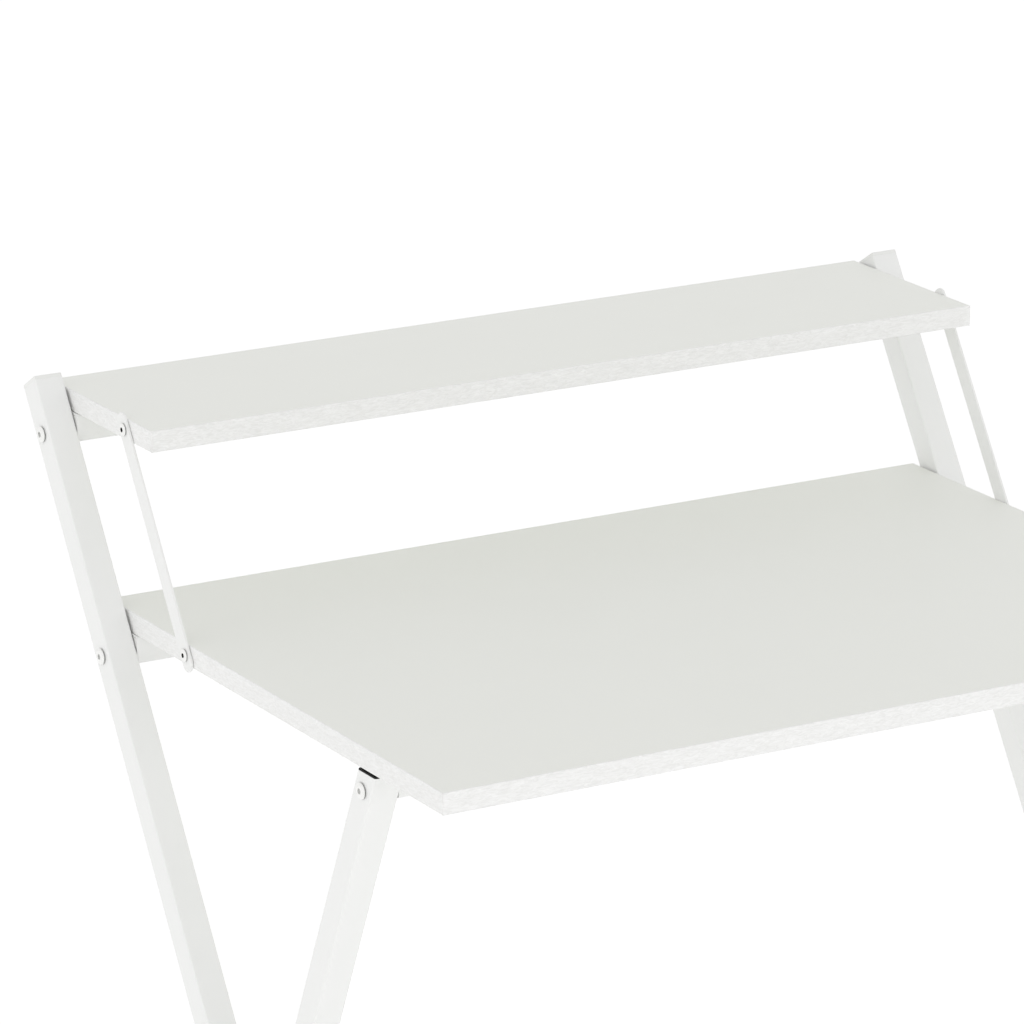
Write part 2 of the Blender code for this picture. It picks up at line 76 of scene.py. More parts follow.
# Link bars
LINK_WIDTH = 15 * MM
LINK_THICKNESS = 2 * MM
LINK_END = 13.5 * MM
LINK_CORNER = 7 * MM
LINK_CORNER_STEPS = 10
LINK_EDGE = 0.35 * MM

# Caps in the post tops
SEAT = 0.3 * MM
CAP_THICKNESS = 3 * MM
CAP_EDGE = 0.8 * MM
CAP_STEPS = 4
CAP_SEAT = 0.05 * MM
CAP_INSERT = 18 * MM
CAP_FIT = 0.3 * MM

# Bolts and screws
HEAD_SIDES = 48
BORE_SIDES = 32
HEAD_RINGS = ((0.975, 0.62), (0.92, 0.76), (0.83, 0.87), (0.7, 0.96), (0.52, 1.0))
HEAD_RIM = 0.45
HEAD_RELIEF = 0.92
HEAD_BRIM = 0.9
HEXAGON = 6
# Material indices of the painted shade in the sockets and under the bolt heads
SOCKET_SHADE_INDEX, RIM_SHADE_INDEX = 1, 2
BOLT = {"radius": 6.3 * MM, "height": 2.4 * MM, "shank": 3 * MM, "socket": 2.5 * MM, "depth": 1.4 * MM}
LINK_SCREW = {"radius": 5 * MM, "height": 1.5 * MM, "shank": 3 * MM, "socket": 2.1 * MM, "depth": 1.2 * MM,
              "thread": 2 * MM, "grip": 20 * MM}
WOOD_SCREW = {"radius": 4 * MM, "height": 2 * MM, "shank": 2 * MM}
CROSS_SLOT = (4.4 * MM, 0.9 * MM, 2 * MM)
BORE_FIT = 0.3 * MM
BORE_RUN = 0.5 * MM

# Rounding of the small moulded and pressed pieces
PLASTIC_EDGE = 0.3 * MM
PLUG_EDGE = 0.2 * MM
NUT_EDGE = 0.45 * MM
EDGE_STEPS = 3
FINE_STEPS = 2

# Angles in degrees at which an edge is sharp, and how flat faces are that make one
SHARP_ANGLE = 40
STEEP_ANGLE = 60
SMOOTH_ANGLE = 32
WELD_SMOOTH_ANGLE = 50
FLAT_ANGLE = 1

# How exactly a face or an edge is picked out
ALIGNED = 0.99
UNDERSIDE = -0.1
NEAR = SEAT / 3
SNUG = SEAT / 10
SAME_POINT = MM / 1000

# Sizes of the patterns in the finishes, and how deep their relief is
PEEL_SIZE = 1.6 * MM
PEEL_DEPTH = 0.06 * MM
COAT_CLOUD = 45 * MM
PEARL_SIZE = 2.4 * MM
PEARL_DEPTH = 0.03 * MM
PRESS_CLOUD = 90 * MM
GRAIN_LENGTH = 8 * MM
GRAIN_WIDTH = 2.2 * MM
GRAIN_DEPTH = 0.12 * MM
SPARK_SIZE = 0.7 * MM
SPARK_DEPTH = 0.04 * MM
SPARK_SPREAD = 0.06
FLOW_SIZE = 3 * MM
FLOW_DEPTH = 0.05 * MM
PAINT_ROUGHNESS = 0.3
SPECK_SIZE = 0.5 * MM
# Roughness of the darker colours that are painted shade in the sockets and under the heads
PAINTED_SHADE_ROUGHNESS = 0.6

# Record slots
STEEL_SLOT = "white_powder_coated_steel"
BOARD_SLOT = "white_laminated_board"
WHITE_SLOT = "white_plastic"
GREY_SLOT = "grey_plastic"
BLACK_SLOT = "black_plastic"
FASTENER_SLOT = "white_painted_fastener"

SIDES = (("left", -1), ("right", 1))


def node_centre(node):
    """The middle of a solid's box."""
    low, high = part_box(node)
    return (low + high) / 2


# Places that follow from the joints and the solids
JOINT = {joint["name"]: Vector(joint["pos_m"]) for joint in frame["joints"]}
DESKTOP_PIVOT = JOINT["desktop_fold"]
POST_RUN = JOINT["shelf_fold"] - DESKTOP_PIVOT
POST_LEAN = math.atan2(POST_RUN.y, POST_RUN.z)
POST_AXIS = POST_RUN.normalized()
LEG_RUN = node_centre("leg_bar_bolt_left") - JOINT["leg_fold"]
LEG_LEAN = math.atan2(-LEG_RUN.y, LEG_RUN.z)


def crossbar_screws(body):
    """The screws that hold a board's crossbar."""
    return [body + "_crossbar_screw_" + str(number) for number in (1, 2, 3)]


def link_screws(body):
    """The screws that a board's links turn on."""
    return [body + "_link_screw_" + side for side, sign in SIDES]


CATCH_SCREWS = ["front_catch_screw_" + side + "_" + end
                for side, sign in SIDES for end in ("inner", "outer")]


# Working on a piece

def only(piece):
    """Makes a piece the only one that operators act on."""
    bpy.ops.object.select_all(action="DESELECT")
    piece.select_set(True)
    bpy.context.view_layer.objects.active = piece


def edit(piece, kind, test):
    """Goes into edit mode with only those faces or edges selected that pass a test."""
    only(piece)
    bpy.ops.object.mode_set(mode="EDIT")
    bpy.ops.mesh.select_mode(type=kind)
    bpy.ops.mesh.select_all(action="DESELECT")
    bpy.ops.object.mode_set(mode="OBJECT")
    mesh = piece.data
    for item in mesh.polygons if kind == "FACE" else mesh.edges:
        item.select = test(item, [mesh.vertices[index].co for index in item.vertices])
    bpy.ops.object.mode_set(mode="EDIT")


def done():
    """Leaves edit mode."""
    bpy.ops.object.mode_set(mode="OBJECT")


def along(axis):
    """A test for the edges that run along one axis."""
    def test(edge, points):
        run = points[1] - points[0]
        return abs(run[axis]) > ALIGNED * run.length
    return test


def facing(axis, sign):
    """A test for the faces that point along one axis."""
    return lambda face, points: sign * face.normal[axis] > ALIGNED


def apply(piece, kind, **settings):
    """Adds a modifier to a piece and applies it."""
    only(piece)
    modifier = piece.modifiers.new(kind.lower(), kind)
    for name, value in settings.items():
        setattr(modifier, name, value)
    bpy.ops.object.modifier_apply(modifier=modifier.name)


def settle(piece, place):
    """Puts a piece at its place and keeps that place in its mesh."""
    only(piece)
    piece.matrix_world = place
    bpy.ops.object.transform_apply(location=True, rotation=True, scale=True)
    return piece


def subtract(piece, tool):
    """Cuts a tool's shape out of a piece and throws the tool away."""
    apply(piece, "BOOLEAN", operation="DIFFERENCE", object=tool)
    bpy.data.objects.remove(tool, do_unlink=True)


def merge_flat(piece):
    """Welds a piece's points and makes its flat faces whole again."""
    edit(piece, "FACE", lambda face, points: True)
    bpy.ops.mesh.remove_doubles(threshold=SAME_POINT)
    bpy.ops.mesh.dissolve_limited(angle_limit=math.radians(FLAT_ANGLE))
    done()


def bore(piece, nodes, radius, axis=X):
    """Drills a piece where bolts or screws pass through it."""
    for node in nodes:
        low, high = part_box(node)
        bpy.ops.object.select_all(action="DESELECT")
        bpy.ops.mesh.primitive_cylinder_add(vertices=BORE_SIDES, radius=radius + BORE_FIT,
                                            depth=high[axis] - low[axis] + 2 * BORE_RUN,
                                            location=(low + high) / 2,
                                            rotation=(0, 0 if axis == Z else QUARTER_TURN, 0))
        subtract(piece, bpy.context.object)
    merge_flat(piece)


def soften(piece, width, steps=EDGE_STEPS, angle=SHARP_ANGLE):
    """Rounds the sharp edges of a piece."""
    apply(piece, "BEVEL", width=width, segments=steps, limit_method="ANGLE",
          angle_limit=math.radians(angle))


def smooth(piece, angle=SMOOTH_ANGLE):
    """Shades a piece round, apart from its sharp edges, with its flat faces kept flat."""
    only(piece)
    bpy.ops.object.shade_smooth_by_angle(angle=math.radians(angle))
    apply(piece, "WEIGHTED_NORMAL", keep_sharp=True)


def box_start(name, size):
    """A box of a given size round the origin, to be shaped further."""
    bpy.ops.object.select_all(action="DESELECT")
    bpy.ops.mesh.primitive_cube_add(size=1)
    piece = bpy.context.object
    piece.name = name
    piece.scale = size
    bpy.ops.object.transform_apply(location=False, rotation=False, scale=True)
    return piece


def dress(piece, materials, slot, body, *nodes):
    """Gives a piece its materials, and lets it ride on a body in place of its solids. Its slot argument is
    not used.
    """
    piece.data.materials.clear()
    for material in materials:
        piece.data.materials.append(material)
    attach(piece, body)
    if nodes:
        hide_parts(*nodes)


def copy_of(master, name, place):
    """A copy of a finished shape, with its own mesh, at its place."""
    piece = bpy.data.objects.new(name, master.data.copy())
    bpy.context.scene.collection.objects.link(piece)
    return settle(piece, place)


def pair(piece, names, node):
    """A piece on the left and its copy on the right, each with its side."""
    across = node_centre(node + "_right") - node_centre(node + "_left")
    return ("left", piece), ("right", copy_of(piece, names % "right", Matrix.Translation(across)))


# Materials

MIX_FACTOR, MIX_FIRST, MIX_SECOND, MIX_RESULT = 0, 6, 7, 2


def srgb(code):
    """A hex colour as linear red, green, blue and alpha."""
    values = [int(code[start:start + 2], 16) / 255 for start in (1, 3, 5)]
    return [v / 12.92 if v <= 0.04045 else ((v + 0.055) / 1.055) ** 2.4 for v in values] + [1.0]


def add(tree, kind, inputs, **settings):
    """Adds one node, with its settings, its values and its links."""
    new = tree.nodes.new(kind)
    for name, value in settings.items():
        setattr(new, name, value)
    for socket, value in inputs.items():
        if isinstance(value, bpy.types.NodeSocket):
            tree.links.new(value, new.inputs[socket])
        else:
            new.inputs[socket].default_value = value
    return new


def surface(name):
    """A new material with its node tree, its shader and its object coordinates."""
    material = bpy.data.materials.new(name)
    material.use_nodes = True
    tree = material.node_tree
    shader = tree.nodes["Principled BSDF"]
    place = tree.nodes.new("ShaderNodeTexCoord").outputs["Object"]
    return material, tree, shader, place


def wire(tree, shader, **outputs):
    """Links outputs to the shader's sockets, named with underscores for spaces."""
    for socket, output in outputs.items():
        tree.links.new(output, shader.inputs[socket.replace("_", " ")])


def powder_coated_steel():
    """Steel with a baked white powder coat: an even satin gloss over a fine orange peel."""
    material, tree, shader, place = surface("powder_coated_steel_white")
    peel = add(tree, "ShaderNodeTexNoise", {"Vector": place, "Scale": 1 / PEEL_SIZE, "Detail": 2.0})
    cloud = add(tree, "ShaderNodeTexNoise", {"Vector": place, "Scale": 1 / COAT_CLOUD, "Detail": 3.0})
    tint = add(tree, "ShaderNodeMix", {MIX_FACTOR: cloud.outputs["Fac"], MIX_FIRST: srgb("#EDEEEC"),
                                       MIX_SECOND: srgb("#F1F1F0")}, data_type="RGBA")
    rough = add(tree, "ShaderNodeMapRange", {"Value": cloud.outputs["Fac"], "To Min": 0.36, "To Max": 0.46})
    bump = add(tree, "ShaderNodeBump", {"Height": peel.outputs["Fac"], "Strength": 0.15,
                                        "Distance": PEEL_DEPTH})
    wire(tree, shader, Base_Color=tint.outputs[MIX_RESULT], Roughness=rough.outputs["Result"],
         Normal=bump.outputs["Normal"])
    return material


def melamine_laminate():
    """Melamine-faced chipboard: a matt, even, slightly green-grey white with a faint pearl from the press."""
    material, tree, shader, place = surface("melamine_laminate_white")
    pearl = add(tree, "ShaderNodeTexNoise", {"Vector": place, "Scale": 1 / PEARL_SIZE, "Detail": 4.0})
    cloud = add(tree, "ShaderNodeTexNoise", {"Vector": place, "Scale": 1 / PRESS_CLOUD, "Detail": 3.0})
    blend = add(tree, "ShaderNodeMath", {0: pearl.outputs["Fac"], 1: cloud.outputs["Fac"]},
                operation="MULTIPLY")
    tint = add(tree, "ShaderNodeMix", {MIX_FACTOR: blend.outputs["Value"], MIX_FIRST: srgb("#EFF0EB"),
                                       MIX_SECOND: srgb("#F3F4EF")}, data_type="RGBA")
    rough = add(tree, "ShaderNodeMapRange", {"Value": pearl.outputs["Fac"], "To Min": 0.46, "To Max": 0.58})
    bump = add(tree, "ShaderNodeBump", {"Height": pearl.outputs["Fac"], "Strength": 0.1,
                                        "Distance": PEARL_DEPTH})
    wire(tree, shader, Base_Color=tint.outputs[MIX_RESULT], Roughness=rough.outputs["Result"],
         Normal=bump.outputs["Normal"])
    return material


def embossed_edge_band():
    """ABS edge band with an embossed wavy grain, its colour lighter on the ridges and grey in the hollows
    along the band: partly the band's own tone, partly painted highlight and painted shade of the emboss.
    """
    material, tree, shader, place = surface("embossed_edge_band_white")
    grain_size = (1 / GRAIN_LENGTH, 1 / GRAIN_LENGTH, 1 / GRAIN_WIDTH)
    stretch = add(tree, "ShaderNodeMapping", {"Vector": place, "Scale": grain_size})
    grain = add(tree, "ShaderNodeTexNoise", {"Vector": stretch.outputs["Vector"], "Scale": 1.0, "Detail": 3.0,
                                             "Roughness": 0.62, "Distortion": 1.6})
    ramp = add(tree, "ShaderNodeMapRange", {"Value": grain.outputs["Fac"], "From Min": 0.32,
                                            "From Max": 0.68})
    # The colour follows the emboss's height: painted highlight on the ridges and painted shade in the
    # hollows.
    tint = add(tree, "ShaderNodeMix", {MIX_FACTOR: ramp.outputs["Result"], MIX_FIRST: srgb("#E7E7E5"),
                                       MIX_SECOND: srgb("#F5F5F4")}, data_type="RGBA")
    rough = add(tree, "ShaderNodeMapRange", {"Value": grain.outputs["Fac"], "To Min": 0.42, "To Max": 0.6})
    bump = add(tree, "ShaderNodeBump", {"Height": grain.outputs["Fac"], "Strength": 0.2,
                                        "Distance": GRAIN_DEPTH})
    wire(tree, shader, Base_Color=tint.outputs[MIX_RESULT], Roughness=rough.outputs["Result"],
         Normal=bump.outputs["Normal"])
    return material


def moulded_plastic(name, dark, light, roughness, gloss=0.5):
    """Injection-moulded plastic: an even colour under the fine matt texture of a spark-eroded mould."""
    material, tree, shader, place = surface(name)
    spark = add(tree, "ShaderNodeTexNoise", {"Vector": place, "Scale": 1 / SPARK_SIZE, "Detail": 2.0})
    tint = add(tree, "ShaderNodeMix", {MIX_FACTOR: spark.outputs["Fac"], MIX_FIRST: srgb(dark),
                                       MIX_SECOND: srgb(light)}, data_type="RGBA")
    rough = add(tree, "ShaderNodeMapRange", {"Value": spark.outputs["Fac"],
                                             "To Min": roughness - SPARK_SPREAD,
                                             "To Max": roughness + SPARK_SPREAD})
    bump = add(tree, "ShaderNodeBump", {"Height": spark.outputs["Fac"], "Strength": 0.2,
                                        "Distance": SPARK_DEPTH})
    wire(tree, shader, Base_Color=tint.outputs[MIX_RESULT], Roughness=rough.outputs["Result"],
         Normal=bump.outputs["Normal"])
    shader.inputs["Specular IOR Level"].default_value = gloss
    return material


def painted_fastener():
    """Steel bolt heads under stoved white paint, a little glossier than the tube."""
    material, tree, shader, place = surface("stoved_paint_white")
    flow = add(tree, "ShaderNodeTexNoise", {"Vector": place, "Scale": 1 / FLOW_SIZE, "Detail": 2.0})
    tint = add(tree, "ShaderNodeMix", {MIX_FACTOR: flow.outputs["Fac"], MIX_FIRST: srgb("#F0F0EE"),
                                       MIX_SECOND: srgb("#F6F6F4")}, data_type="RGBA")
    bump = add(tree, "ShaderNodeBump", {"Height": flow.outputs["Fac"], "Strength": 0.1,
                                        "Distance": FLOW_DEPTH})
    wire(tree, shader, Base_Color=tint.outputs[MIX_RESULT], Normal=bump.outputs["Normal"])
    shader.inputs["Roughness"].default_value = PAINT_ROUGHNESS
    return material


def painted_shade_steel(name, dark, light):
    """A driving socket or the underside of a head in a darker speckled colour, which is painted shade for the
    hollow of the socket and the gap under the head.
    """
    material, tree, shader, place = surface(name)
    speck = add(tree, "ShaderNodeTexNoise", {"Vector": place, "Scale": 1 / SPECK_SIZE, "Detail": 3.0})
    tint = add(tree, "ShaderNodeMix", {MIX_FACTOR: speck.outputs["Fac"], MIX_FIRST: srgb(dark),
                                       MIX_SECOND: srgb(light)}, data_type="RGBA")
    wire(tree, shader, Base_Color=tint.outputs[MIX_RESULT])
    shader.inputs["Roughness"].default_value = PAINTED_SHADE_ROUGHNESS
    return material


steel = powder_coated_steel()
laminate = melamine_laminate()
edge_band = embossed_edge_band()
white_plastic = moulded_plastic("moulded_plastic_white", "#EAEBE8", "#EFEFED", 0.42)
grey_plastic = moulded_plastic("moulded_plastic_grey", "#B9BAB8", "#C6C6C4", 0.55)
black_plastic = moulded_plastic("moulded_plastic_black", "#050505", "#0A0A0A", 0.6, gloss=0.2)
paint = painted_fastener()
# The sockets get darker colours as painted shade of their hollows: grey in the bolts, black in the link
# screws.
grey_socket_painted_shade = painted_shade_steel("socket_painted_shade_grey", "#D4D4D2", "#DEDEDC")
black_socket_painted_shade = painted_shade_steel("socket_painted_shade_black", "#141414", "#262625")
# The undersides of the bolt heads get a grey colour as painted shade of the gap under the head.
rim_painted_shade = painted_shade_steel("bolt_rim_painted_shade", "#A2A2A0", "#B0B0AE")


# Boards

def make_band(name, size, place, outer_axis, outer_sign, body):
    """One glued edge band, its two outer edges rounded as a trimmer leaves them."""
    band = box_start(name, size)
    face = outer_sign * size[outer_axis] / 2

    def outer(edge, points):
        return all(abs(point[outer_axis] - face) < NEAR for point in points)

    edit(band, "EDGE", outer)
    bpy.ops.mesh.bevel(offset=BAND_EDGE, segments=EDGE_STEPS, affect="EDGES")
    done()
    settle(band, Matrix.Translation(place))
    if outer_axis == X:
        own_screw = [node for node in link_screws(body) if node_centre(node).x * outer_sign > 0]
        bore(band, own_screw, LINK_SCREW["thread"])
    smooth(band)
    dress(band, [edge_band], BOARD_SLOT, body)


def make_board(name, body):
    """A laminated panel with a band on each of its four edges."""
    low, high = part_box(name + "_board")
    size = high - low
    middle = (high + low) / 2
    panel = box_start(name + "_panel", (size.x - 2 * BAND_THICKNESS, size.y - 2 * BAND_THICKNESS, size.z))
    soften(panel, PANEL_EDGE, steps=FINE_STEPS)
    settle(panel, Matrix.Translation(middle))
    bore(panel, link_screws(body), LINK_SCREW["thread"])
    wood_screws = crossbar_screws(body) + (CATCH_SCREWS if body == "desktop" else [])
    bore(panel, wood_screws, WOOD_SCREW["shank"], axis=Z)
    smooth(panel)
    dress(panel, [laminate], BOARD_SLOT, body, name + "_board")
    for side, sign in (("front", -1), ("back", 1)):
        place = middle + Vector((0, sign * (size.y - BAND_THICKNESS) / 2, 0))
        make_band(name + "_band_" + side, (size.x, BAND_THICKNESS, size.z), place, Y, sign, body)
    for side, sign in SIDES:
        place = middle + Vector((sign * (size.x - BAND_THICKNESS) / 2, 0, 0))
        length = size.y - 2 * BAND_THICKNESS
        make_band(name + "_band_" + side, (BAND_THICKNESS, length, size.z), place, X, sign, body)


# Square tube

def square_tube(name, width, length, wall=TUBE_WALL, corner=TUBE_CORNER):
    """A length of square tube along Z, with round corners and open ends."""
    tube = box_start(name, (width, width, length))
    edit(tube, "EDGE", along(Z))
    bpy.ops.mesh.bevel(offset=corner, segments=TUBE_CORNER_STEPS, affect="EDGES")
    done()
    edit(tube, "FACE", lambda face, points: abs(face.normal.z) > ALIGNED)
    bpy.ops.mesh.delete(type="ONLY_FACE")
    done()
    apply(tube, "SOLIDIFY", thickness=wall, offset=-1, use_even_offset=True)
    return tube


def saw_level(tube, height, up):
    """Saws a leaning tube off level, and takes away what is above the height, or below it."""
    reach = POST_BLANK
    saw = box_start("saw", (reach, reach, reach))
    saw.location = (0, 0, height + up * reach / 2)
    subtract(tube, saw)


def lying(node, lean):
    """The place of a tube that lies across the desk, its section leaning like the frame it joins."""
    turn = Matrix.Rotation(lean, 4, "X") @ Matrix.Rotation(QUARTER_TURN, 4, "Y")
    return Matrix.Translation(node_centre(node)) @ turn


def make_posts():
    """The leaning posts, square at the top and level at the floor, with their caps."""
    top = DESKTOP_PIVOT + POST_AXIS * POST_ABOVE_PIVOT
    top.x = node_centre("post_left").x
    lean = Matrix.Rotation(-POST_LEAN, 4, "X")
    tube = square_tube("post_tube_left", TUBE_WIDTH, POST_BLANK)
    settle(tube, Matrix.Translation(top - POST_AXIS * POST_BLANK / 2) @ lean)
    saw_level(tube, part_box("post_left")[0].z, -1)
    bore(tube, [stem + "_pivot_bolt_left" for stem in ("desktop", "shelf", "cross")], BOLT["shank"])
    smooth(tube)
    for side, post in pair(tube, "post_tube_%s", "post"):
        dress(post, [steel], STEEL_SLOT, "post_frame", "post_" + side)
    moulding = make_cap("post_cap_moulded_left")
    settle(moulding, Matrix.Translation(top) @ lean)
    smooth(moulding)
    for side, cap in pair(moulding, "post_cap_moulded_%s", "post_cap"):
        dress(cap, [white_plastic], WHITE_SLOT, "post_frame", "post_cap_" + side)


def make_cap(name):
    """A moulded cap: a rounded flange on the tube's end, and a shank that fits the bore."""
    crown = SEAT + CAP_THICKNESS
    cap = box_start(name, (TUBE_WIDTH, TUBE_WIDTH, crown - CAP_SEAT))
    settle(cap, Matrix.Translation((0, 0, (crown + CAP_SEAT) / 2)))
    edit(cap, "EDGE", along(Z))
    bpy.ops.mesh.bevel(offset=TUBE_CORNER, segments=TUBE_CORNER_STEPS, affect="EDGES")
    done()
    edit(cap, "EDGE", lambda edge, points: all(abs(point.z - crown) < NEAR for point in points))
    bpy.ops.mesh.bevel(offset=CAP_EDGE, segments=CAP_STEPS, affect="EDGES")
    done()
    edit(cap, "FACE", facing(Z, -1))
    bpy.ops.mesh.inset(thickness=TUBE_WALL + CAP_FIT)
    bpy.ops.mesh.extrude_region_move(TRANSFORM_OT_translate={"value": (0, 0, -CAP_INSERT - CAP_SEAT)})
    done()
    return cap


def make_legs():
    """The crossed legs, level at the top and at the floor."""
    low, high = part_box("leg_left")
    middle = JOINT["leg_fold"].copy()
    middle.x = node_centre("leg_left").x
    tube = square_tube("leg_tube_left", TUBE_WIDTH, LEG_BLANK)
    settle(tube, Matrix.Translation(middle) @ Matrix.Rotation(LEG_LEAN, 4, "X"))
    saw_level(tube, low.z, -1)
    saw_level(tube, high.z, 1)
    bore(tube, ["leg_bar_bolt_left", "cross_pivot_bolt_left"], BOLT["shank"])
    smooth(tube)
    for side, leg in pair(tube, "leg_tube_%s", "leg"):
        dress(leg, [steel], STEEL_SLOT, "leg_frame", "leg_" + side)


def make_bar(node, width, lean, body, screws=()):
    """A straight tube across the desk, in place of its solid, drilled for its screws."""
    low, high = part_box(node)
    bar = square_tube(node + "_tube", width, high.x - low.x)
    settle(bar, lying(node, lean))
    bore(bar, screws, WOOD_SCREW["shank"], axis=Z)
    smooth(bar)
    dress(bar, [steel], STEEL_SLOT, body, node)


def make_welds(node, lean, body):
    """The painted weld beads round both ends of a floor bar."""
    low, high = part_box(node)
    width = FLOOR_BAR_WIDTH + 2 * WELD_STAND
    bead = square_tube("weld_bead", width, WELD_LENGTH, WELD_STAND - WELD_FIT, TUBE_CORNER + WELD_STAND)
    soften(bead, WELD_ROUND, angle=STEEP_ANGLE)
    smooth(bead, WELD_SMOOTH_ANGLE)
    for side, sign in SIDES:
        shift = sign * ((high.x - low.x) / 2 - WELD_LENGTH / 2)
        weld = copy_of(bead, node + "_weld_" + side, Matrix.Translation((shift, 0, 0)) @ lying(node, lean))
        dress(weld, [steel], STEEL_SLOT, body)
    bpy.data.objects.remove(bead, do_unlink=True)


# Links

def make_links():
    """Flat bars with round ends, outboard of the board ends."""
    bar = box_start("link_left_bar", (LINK_THICKNESS, LINK_WIDTH, POST_RUN.length + 2 * LINK_END))
    edit(bar, "EDGE", along(X))
    bpy.ops.mesh.bevel(offset=LINK_CORNER, segments=LINK_CORNER_STEPS, affect="EDGES")
    done()
    soften(bar, LINK_EDGE, steps=FINE_STEPS, angle=STEEP_ANGLE)
    settle(bar, Matrix.Translation(node_centre("link_left")) @ Matrix.Rotation(-POST_LEAN, 4, "X"))
    bore(bar, ["desktop_link_screw_left", "shelf_link_screw_left"], LINK_SCREW["shank"])
    smooth(bar)
    for side, link in pair(bar, "link_%s_bar", "link"):
        dress(link, [steel], STEEL_SLOT, "link_" + side, "link_" + side)


# Bolts and screws

def round_head(name, length, sizes):
    """A low round head on its shank, its seat at z = 0 and its head above it."""
    bpy.ops.object.select_all(action="DESELECT")
    radius, height = sizes["radius"], sizes["height"]
    grip = sizes.get("grip", 0)
    rim = HEAD_RIM * height
    bpy.ops.mesh.primitive_cylinder_add(vertices=HEAD_SIDES, radius=radius, depth=rim,
                                        location=(0, 0, rim / 2))
    head = settle(bpy.context.object, Matrix.Translation((0, 0, rim / 2)))
    head.name = name
    edit(head, "FACE", facing(Z, 1))
    share, level = 1.0, rim
    for out, up in HEAD_RINGS:
        bpy.ops.mesh.extrude_region_move(TRANSFORM_OT_translate={"value": (0, 0, up * height - level)})
        bpy.ops.transform.resize(value=(out / share, out / share, 1))
        share, level = out, up * height
    done()
    edit(head, "FACE", facing(Z, -1))
    bpy.ops.mesh.inset(thickness=radius - sizes["shank"])
    bpy.ops.mesh.extrude_region_move(TRANSFORM_OT_translate={"value": (0, 0, grip - length)})
    if grip:
        bpy.ops.mesh.inset(thickness=sizes["shank"] - sizes["thread"])
        bpy.ops.mesh.extrude_region_move(TRANSFORM_OT_translate={"value": (0, 0, -grip)})
    done()
    return head


def socket_head(name, length, sizes):
    """A round-headed bolt with a hexagon socket.

    Its socket has the second of its materials and the underside of its head the third, both darker colours
    that are painted shade.
    """
    head = round_head(name, length, sizes)

    def seat_edge(edge, points):
        brim = HEAD_BRIM * sizes["radius"]
        return all(abs(point.z) < SNUG and point.xy.length > brim for point in points)

    edit(head, "EDGE", seat_edge)
    relief = HEAD_RELIEF * HEAD_RIM * sizes["height"]
    bpy.ops.mesh.bevel(offset=relief, segments=FINE_STEPS, affect="EDGES")
    done()
    bpy.ops.object.select_all(action="DESELECT")
    bpy.ops.mesh.primitive_cylinder_add(vertices=HEXAGON, radius=sizes["socket"], depth=2 * sizes["depth"],
                                        location=(0, 0, sizes["height"]))
    subtract(head, bpy.context.object)
    smooth(head)
    for material in (paint, grey_socket_painted_shade, rim_painted_shade):
        head.data.materials.append(material)
    floor = sizes["height"] - sizes["depth"]
    # The socket faces and the underside of the head take the painted-shade colours.
    for face in head.data.polygons:
        inside = face.center.xy.length < sizes["socket"]
        level = face.center.z
        if inside and floor - NEAR < level < sizes["height"] - SNUG:
            face.material_index = SOCKET_SHADE_INDEX
        elif face.normal.z < UNDERSIDE and -SNUG < level < HEAD_RIM * sizes["height"]:
            face.material_index = RIM_SHADE_INDEX
    return head


def cross_head(name, length, sizes):
    """A pan-headed wood screw with a cross recess."""
    head = round_head(name, length, sizes)
    for quarter in (0, 1):
        slot = box_start("recess", CROSS_SLOT)
        slot.rotation_euler.z = quarter * QUARTER_TURN
        slot.location.z = sizes["height"]
        subtract(head, slot)
    smooth(head)
    return head


def place_fasteners(master, nodes, height, socket):
    """Copies a bolt or screw along X to each of its solids, its head outwards."""
    for node, body in nodes:
        low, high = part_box(node)
        side = 1 if high.x + low.x > 0 else -1
        seat = (high.x if side > 0 else low.x) - side * height
        middle = (high + low) / 2
        turn = Matrix.Rotation(side * QUARTER_TURN, 4, "Y")
        piece = copy_of(master, node + "_turned", Matrix.Translation((seat, middle.y, middle.z)) @ turn)
        dress_fastener(piece, socket, body, node)
    bpy.data.objects.remove(master, do_unlink=True)


def dress_fastener(piece, socket, body, node):
    """Keeps the faces of the socket and of the underside in their own darker colours, which are painted
    shade.
    """
    kept = [face.material_index for face in piece.data.polygons]
    dress(piece, [paint, socket, rim_painted_shade], FASTENER_SLOT, body, node)
    for face, index in zip(piece.data.polygons, kept):
        face.material_index = index


def length_along(node, axis, height):
    """The length of a fastener's shank."""
    low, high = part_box(node)
    return high[axis] - low[axis] - height


def make_bolts():
    """The pivot bolts through the posts, the leg bolts and the shoulder screws of the links."""
    # Bolts take grey painted shade in their sockets, and link screws black painted shade.
    for stem, body in (("desktop_pivot_bolt", "post_frame"), ("shelf_pivot_bolt", "post_frame"),
                       ("cross_pivot_bolt", "post_frame"), ("leg_bar_bolt", "leg_frame")):
        nodes = [(stem + "_" + side, body) for side, sign in SIDES]
        length = length_along(nodes[0][0], X, BOLT["height"])
        place_fasteners(socket_head("bolt", length, BOLT), nodes, BOLT["height"], grey_socket_painted_shade)
    for body in ("desktop", "shelf"):
        nodes = [(node, body) for node in link_screws(body)]
        length = length_along(nodes[0][0], X, LINK_SCREW["height"])
        master = socket_head("link_screw", length, LINK_SCREW)
        place_fasteners(master, nodes, LINK_SCREW["height"], black_socket_painted_shade)


